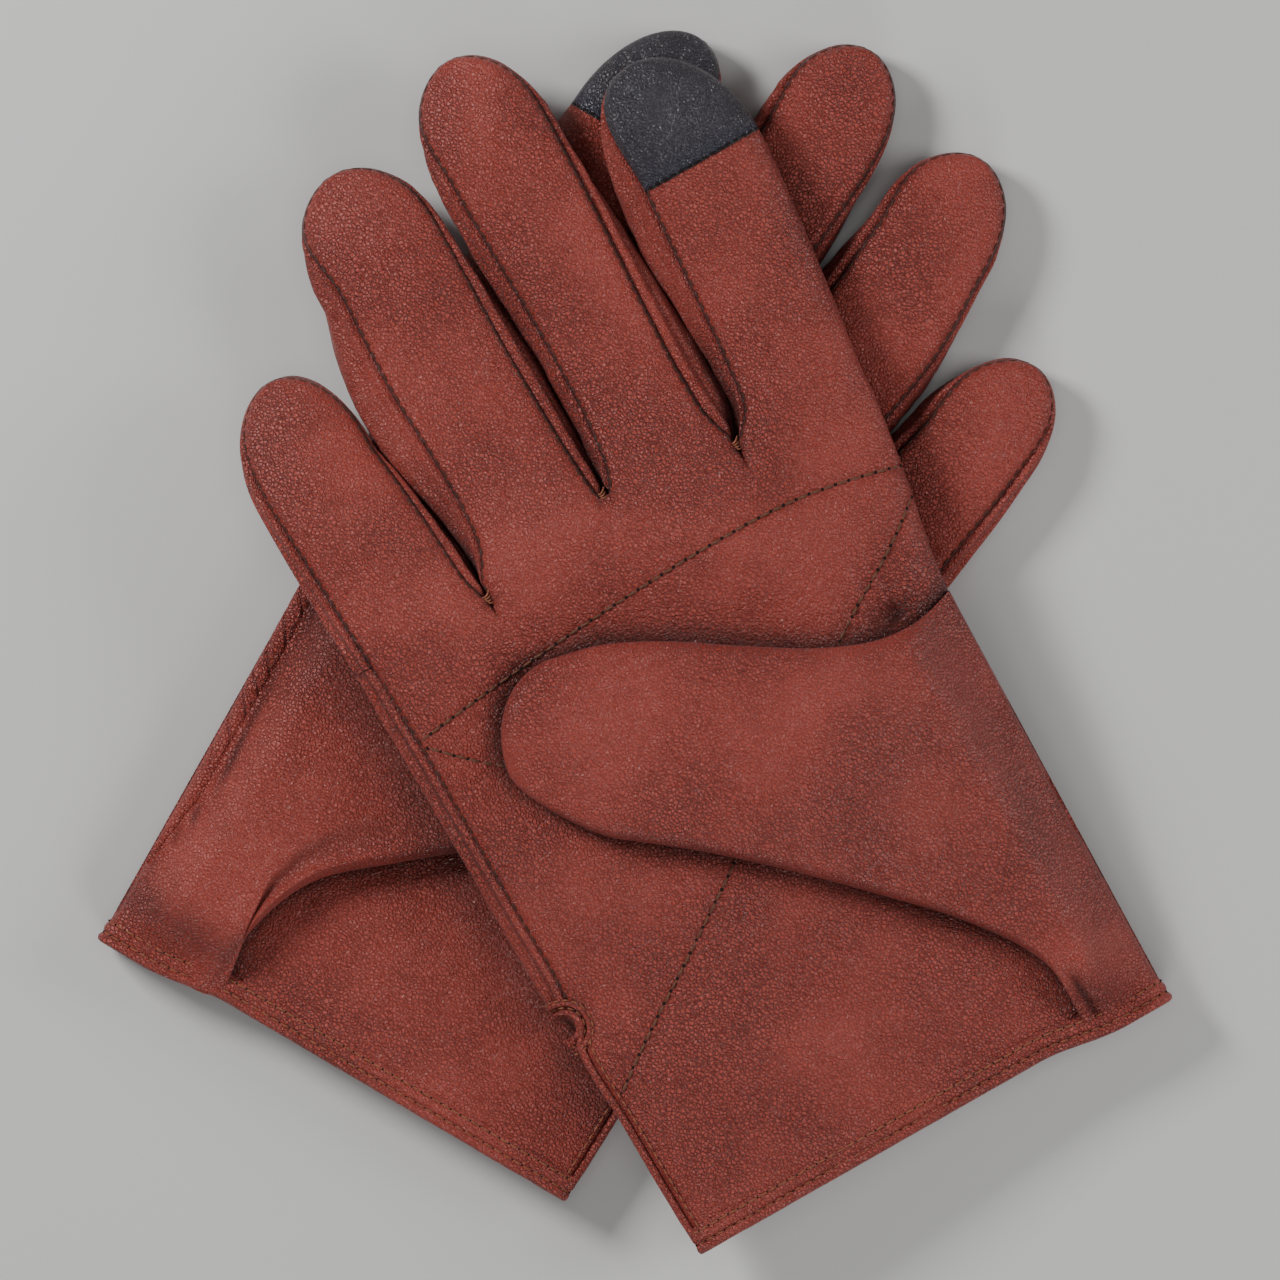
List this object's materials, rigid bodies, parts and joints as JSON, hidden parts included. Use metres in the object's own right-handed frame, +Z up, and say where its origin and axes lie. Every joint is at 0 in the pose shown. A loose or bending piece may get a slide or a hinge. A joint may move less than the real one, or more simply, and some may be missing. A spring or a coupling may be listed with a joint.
{
  "type": "touchscreen gloves",
  "caption": "Pair of leather dress gloves with conductive index fingertips, lying crossed palm up with the thumbs folded over the palms.",
  "frame": {"origin": "centre of the pair's overall box, on the surface it lies on", "axes": "+Z up from the surface, +Y from the cuffs towards the fingertips, +X towards the cuff of the right-hand glove; both gloves lie palm up, the left-hand glove underneath"},
  "size_m": [0.2242, 0.2598, 0.0379],
  "materials": {
    "glove_leather": "cognac red-brown lambskin, fine grain, satin",
    "touch_leather": "blue-black conductive leather, fine grain, satin",
    "knit_lining": "brown brushed knit",
    "stitching_thread": "dark brown waxed sewing thread"
  },
  "bodies": {
    "left_glove": {"left_palm_panel": "glove_leather", "left_back_panel": "glove_leather", "left_cuff_hem": "glove_leather", "left_vent_binding": "glove_leather", "left_palm_stitching": "stitching_thread", "left_cuff_stitching": "stitching_thread", "left_hand_lining": "knit_lining", "left_thumb_front": "glove_leather", "left_thumb_back": "glove_leather", "left_thumb_lining": "knit_lining", "left_index_front": "glove_leather", "left_index_back": "glove_leather", "left_index_fourchettes": "glove_leather", "left_index_lining": "knit_lining", "left_index_touch_tip": "touch_leather", "left_hand_fourchettes": "glove_leather"},
    "left_little_finger": {"left_little_front": "glove_leather", "left_little_back": "glove_leather", "left_little_fourchettes": "glove_leather", "left_little_lining": "knit_lining"},
    "left_ring_finger": {"left_ring_front": "glove_leather", "left_ring_back": "glove_leather", "left_ring_fourchettes": "glove_leather", "left_ring_lining": "knit_lining"},
    "left_middle_finger": {"left_middle_front": "glove_leather", "left_middle_back": "glove_leather", "left_middle_fourchettes": "glove_leather", "left_middle_lining": "knit_lining"},
    "right_glove": {"right_palm_panel": "glove_leather", "right_back_panel": "glove_leather", "right_cuff_hem": "glove_leather", "right_vent_binding": "glove_leather", "right_palm_stitching": "stitching_thread", "right_cuff_stitching": "stitching_thread", "right_hand_lining": "knit_lining"},
    "right_thumb": {"right_thumb_front": "glove_leather", "right_thumb_back": "glove_leather", "right_thumb_lining": "knit_lining"},
    "right_little_finger": {"right_little_front": "glove_leather", "right_little_back": "glove_leather", "right_little_fourchettes": "glove_leather", "right_little_lining": "knit_lining"},
    "right_ring_finger": {"right_ring_front": "glove_leather", "right_ring_back": "glove_leather", "right_ring_fourchettes": "glove_leather", "right_ring_lining": "knit_lining"},
    "right_middle_finger": {"right_middle_front": "glove_leather", "right_middle_back": "glove_leather", "right_middle_fourchettes": "glove_leather", "right_middle_lining": "knit_lining"},
    "right_index_finger": {"right_index_front": "glove_leather", "right_index_back": "glove_leather", "right_index_fourchettes": "glove_leather", "right_index_lining": "knit_lining", "right_index_touch_tip": "touch_leather"}
  },
  "joints": [
    {"name": "right_glove_lift", "type": "slide", "parent": "left_glove", "child": "right_glove", "axis": [0, 0, 1], "range_m": [0, 0.1]},
    {"name": "right_little_bend", "type": "hinge", "parent": "right_glove", "child": "right_little_finger", "pos_m": [-0.05035, 0.00726, 0.0287], "axis": [0.8704, 0.4924, 0], "range_deg": [0, 75]},
    {"name": "right_ring_bend", "type": "hinge", "parent": "right_glove", "child": "right_ring_finger", "pos_m": [-0.02158, 0.02354, 0.02869], "axis": [0.8704, 0.4924, 0], "range_deg": [0, 75]},
    {"name": "right_middle_bend", "type": "hinge", "parent": "right_glove", "child": "right_middle_finger", "pos_m": [0.00713, 0.03979, 0.02598], "axis": [0.8704, 0.4924, 0], "range_deg": [0, 75]},
    {"name": "right_index_bend", "type": "hinge", "parent": "right_glove", "child": "right_index_finger", "pos_m": [0.03431, 0.05516, 0.02173], "axis": [0.8704, 0.4924, 0], "range_deg": [0, 75]},
    {"name": "right_thumb_swing", "type": "hinge", "parent": "right_glove", "child": "right_thumb", "pos_m": [0.07892, -0.03479, 0.02284], "axis": [-0.4452, 0.8829, 0.1492], "range_deg": [0, 150]},
    {"name": "left_little_bend", "type": "hinge", "parent": "left_glove", "child": "left_little_finger", "pos_m": [0.06642, 0.03289, 0.0095], "axis": [0.8616, -0.5075, 0], "range_deg": [0, 75]},
    {"name": "left_ring_bend", "type": "hinge", "parent": "left_glove", "child": "left_ring_finger", "pos_m": [0.0525, 0.07011, 0.0095], "axis": [0.8616, -0.5075, 0], "range_deg": [0, 75]},
    {"name": "left_middle_bend", "type": "hinge", "parent": "left_glove", "child": "left_middle_finger", "pos_m": [0.03935, 0.10687, 0.0095], "axis": [0.8616, -0.5075, 0], "range_deg": [0, 75]}
  ]
}
